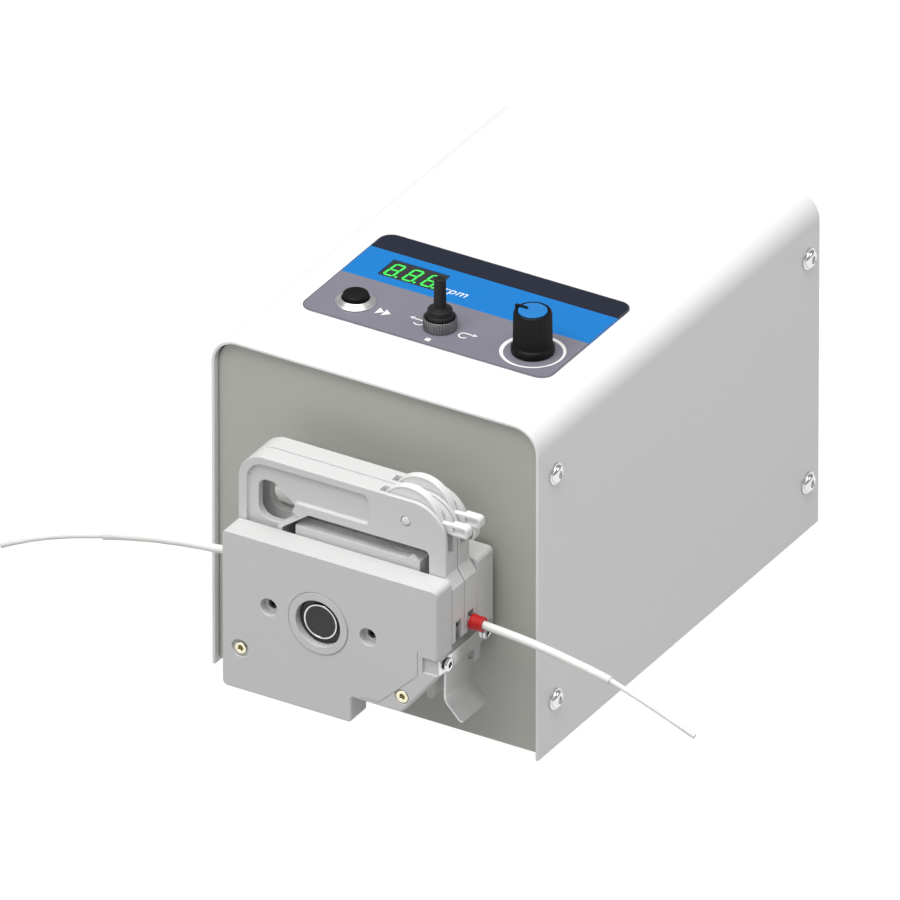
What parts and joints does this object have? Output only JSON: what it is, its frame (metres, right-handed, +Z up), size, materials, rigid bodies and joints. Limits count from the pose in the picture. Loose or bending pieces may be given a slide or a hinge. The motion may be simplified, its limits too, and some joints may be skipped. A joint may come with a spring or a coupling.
{
  "type": "peristaltic pump",
  "caption": "Bench-top peristaltic pump: folded steel casing with speed controls on top and a roller pump head with clip-in cartridges and tubing on its front.",
  "frame": {"origin": "on the table, under the middle of the pump without its tubing", "axes": "+Z up, +Y from the pump head towards the rear panel, +X to the operator's right"},
  "size_m": [0.2765, 0.228, 0.155],
  "materials": {
    "cover_paint": "fine-textured light grey powder coat",
    "panel_paint": "greenish grey powder coat",
    "screw_chrome": "polished",
    "foot_rubber": "matt black rubber",
    "overlay_print": "printed polyester film, satin",
    "display_black": "tinted black window",
    "bezel_chrome": "polished, knurled",
    "control_black": "matt black moulding",
    "nut_steel": "dark nickel, knurled",
    "boot_rubber": "matt black rubber boot",
    "cap_blue": "blue moulding",
    "zinc_steel": "zinc-plated",
    "motor_steel": "satin steel can",
    "board_green": "solder-masked board",
    "socket_black": "black moulding",
    "head_grey": "fine-grained light grey, satin",
    "rod_brass": "turned brass",
    "rotor_steel": "turned stainless steel",
    "roller_steel": "ground and polished stainless steel",
    "cartridge_grey": "smooth light grey moulding",
    "bed_grey": "grained light grey moulding",
    "lever_white": "smooth off-white moulding",
    "latch_steel": "satin spring steel",
    "strap_steel": "bright spring steel",
    "tube_white": "smooth translucent white tubing",
    "stop_red": "red moulding"
  },
  "bodies": {
    "root": {"cover": "cover_paint", "chassis": "panel_paint", "side_screw_left_front_low": "screw_chrome", "side_screw_left_front_high": "screw_chrome", "side_screw_left_rear_low": "screw_chrome", "side_screw_left_rear_high": "screw_chrome", "side_screw_right_front_low": "screw_chrome", "side_screw_right_front_high": "screw_chrome", "side_screw_right_rear_low": "screw_chrome", "side_screw_right_rear_high": "screw_chrome", "foot_front_left": "foot_rubber", "foot_front_right": "foot_rubber", "foot_rear_left": "foot_rubber", "foot_rear_right": "foot_rubber", "control_overlay": "overlay_print", "display_module": "display_black", "button_bezel": "bezel_chrome", "toggle_nut": "nut_steel", "toggle_body": "control_black", "potentiometer": "zinc_steel", "motor": "motor_steel", "control_board": "board_green", "power_supply": "zinc_steel", "power_inlet": "socket_black", "power_switch": "socket_black", "head_adapter": "zinc_steel", "rear_plate": "head_grey", "front_plate": "head_grey", "tie_rod_left": "rod_brass", "tie_rod_right": "rod_brass", "front_bearing": "control_black", "latch_strap": "strap_steel", "strap_screw_front": "screw_chrome", "strap_screw_rear": "screw_chrome"},
    "button": {"button_cap": "control_black"},
    "toggle": {"toggle_boot": "boot_rubber"},
    "knob": {"speed_knob": "control_black", "knob_cap": "cap_blue"},
    "rocker": {"power_rocker": "socket_black"},
    "rotor": {"rotor": "rotor_steel"},
    "roller_1": {"roller_1": "roller_steel"},
    "roller_2": {"roller_2": "roller_steel"},
    "roller_3": {"roller_3": "roller_steel"},
    "roller_4": {"roller_4": "roller_steel"},
    "roller_5": {"roller_5": "roller_steel"},
    "roller_6": {"roller_6": "roller_steel"},
    "cartridge_front": {"cartridge_front": "cartridge_grey"},
    "cartridge_rear": {"cartridge_rear": "cartridge_grey", "tube_in_head": "tube_white", "tube_left": "tube_white", "tube_right": "tube_white", "lead_tube_left": "tube_white", "lead_tube_right": "tube_white", "tube_stop_left": "stop_red", "tube_stop_right": "stop_red"},
    "bed_front": {"pressure_bed_front": "bed_grey"},
    "bed_rear": {"pressure_bed_rear": "bed_grey"},
    "lever_front": {"pressure_lever_front": "lever_white"},
    "lever_rear": {"pressure_lever_rear": "lever_white"},
    "release_lever": {"release_lever": "latch_steel"}
  },
  "joints": [
    {"name": "button_press", "type": "slide", "parent": "root", "child": "button", "axis": [0, 0, -1], "range_m": [0, 0.0015], "stiffness_N_per_m": 1200},
    {"name": "toggle_tilt", "type": "hinge", "parent": "root", "child": "toggle", "pos_m": [0, -0.0323, 0.13945], "axis": [0, 1, 0], "range_deg": [-12, 12]},
    {"name": "knob_turn", "type": "hinge", "parent": "root", "child": "knob", "pos_m": [0.0355, -0.0301, 0.13545], "axis": [0, 0, 1], "range_deg": [-240, 60]},
    {"name": "rocker_flip", "type": "hinge", "parent": "root", "child": "rocker", "pos_m": [-0.012, 0.1106, 0.039], "axis": [0, 0, 1], "range_deg": [-18, 0]},
    {"name": "rotor_spin", "type": "hinge", "parent": "root", "child": "rotor", "pos_m": [0, -0.095, 0.0592], "axis": [0, 1, 0], "continuous": true},
    {"name": "roller_1_spin", "type": "hinge", "parent": "rotor", "child": "roller_1", "pos_m": [0.01083, -0.095, 0.06545], "axis": [0, 1, 0], "continuous": true},
    {"name": "roller_2_spin", "type": "hinge", "parent": "rotor", "child": "roller_2", "pos_m": [0, -0.095, 0.0717], "axis": [0, 1, 0], "continuous": true},
    {"name": "roller_3_spin", "type": "hinge", "parent": "rotor", "child": "roller_3", "pos_m": [-0.01083, -0.095, 0.06545], "axis": [0, 1, 0], "continuous": true},
    {"name": "roller_4_spin", "type": "hinge", "parent": "rotor", "child": "roller_4", "pos_m": [-0.01083, -0.095, 0.05295], "axis": [0, 1, 0], "continuous": true},
    {"name": "roller_5_spin", "type": "hinge", "parent": "rotor", "child": "roller_5", "pos_m": [0, -0.095, 0.0467], "axis": [0, 1, 0], "continuous": true},
    {"name": "roller_6_spin", "type": "hinge", "parent": "rotor", "child": "roller_6", "pos_m": [0.01083, -0.095, 0.05295], "axis": [0, 1, 0], "continuous": true},
    {"name": "cartridge_front_tilt", "type": "hinge", "parent": "root", "child": "cartridge_front", "pos_m": [-0.0311, -0.09915, 0.0402], "axis": [0, 1, 0], "range_deg": [-19, 0]},
    {"name": "lever_front_turn", "type": "hinge", "parent": "cartridge_front", "child": "lever_front", "pos_m": [0.0284, -0.09915, 0.1028], "axis": [0, 1, 0], "range_deg": [-45, 0]},
    {"name": "bed_front_slide", "type": "slide", "parent": "cartridge_front", "child": "bed_front", "axis": [0, 0, 1], "range_m": [0, 0.0011]},
    {"name": "cartridge_rear_tilt", "type": "hinge", "parent": "root", "child": "cartridge_rear", "pos_m": [-0.0311, -0.09095, 0.0402], "axis": [0, 1, 0], "range_deg": [-19, 0]},
    {"name": "lever_rear_turn", "type": "hinge", "parent": "cartridge_rear", "child": "lever_rear", "pos_m": [0.0284, -0.09095, 0.1028], "axis": [0, 1, 0], "range_deg": [-45, 0]},
    {"name": "bed_rear_slide", "type": "slide", "parent": "cartridge_rear", "child": "bed_rear", "axis": [0, 0, 1], "range_m": [0, 0.0011]},
    {"name": "release_press", "type": "hinge", "parent": "root", "child": "release_lever", "pos_m": [0.0437, -0.0935, 0.0547], "axis": [0, 1, 0], "range_deg": [0, 6], "stiffness_Nm_per_rad": 0.5}
  ],
  "couplings": [
    {"joint": "bed_front_slide", "follows": "lever_front_turn", "m_per_rad": -0.0014},
    {"joint": "bed_rear_slide", "follows": "lever_rear_turn", "m_per_rad": -0.0014}
  ]
}
